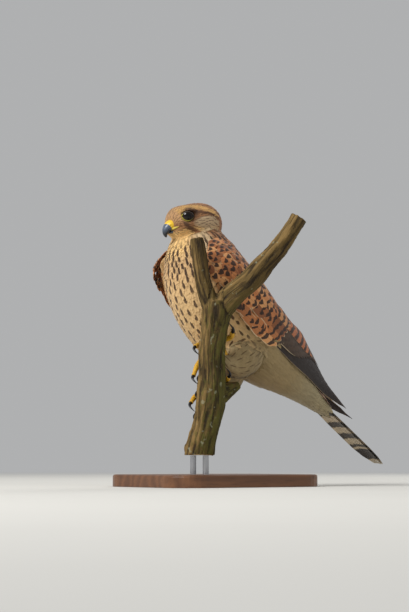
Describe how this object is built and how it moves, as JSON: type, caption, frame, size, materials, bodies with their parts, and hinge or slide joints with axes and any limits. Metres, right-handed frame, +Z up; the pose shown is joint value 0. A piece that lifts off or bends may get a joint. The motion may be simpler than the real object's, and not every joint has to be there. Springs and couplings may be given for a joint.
{
  "type": "life-size model of a common kestrel on a perch",
  "caption": "Still, life-size model of a female common kestrel gripping a cut length of forked branch, on a plain stand.",
  "frame": {"origin": "middle of the underside of the stand's base", "axes": "+Z up, -Y the way that the bird's body faces, +X the bird's left"},
  "size_m": [0.1615, 0.2638, 0.2401],
  "materials": {
    "breast": "matte",
    "crown": "matte",
    "wing": "matte",
    "tail": "matte",
    "bill": "smooth",
    "cere": "smooth",
    "eye": "polished",
    "claw": "smooth",
    "bark": "rough",
    "stand": "satin",
    "steel": "brushed"
  },
  "bodies": {
    "root": {"bill_lower": "bill", "bill_upper": "bill", "cere": "cere", "claw_left_hind": "claw", "claw_left_inner": "claw", "claw_left_middle": "claw", "claw_left_outer": "claw", "claw_right_hind": "claw", "claw_right_inner": "claw", "claw_right_middle": "claw", "claw_right_outer": "claw", "eye_left": "eye", "eye_right": "eye", "foot_left": "cere", "foot_right": "cere", "head": "crown", "neck": "breast", "perch_limb": "bark", "perch_snag": "bark", "perch_trunk": "bark", "stand_base": "stand", "stand_rod_1": "steel", "stand_rod_2": "steel", "tail": "tail", "tarsus_left": "cere", "tarsus_right": "cere", "thigh_left": "breast", "thigh_right": "breast", "torso": "breast", "wing_left": "wing", "wing_right": "wing"}
  },
  "joints": []
}
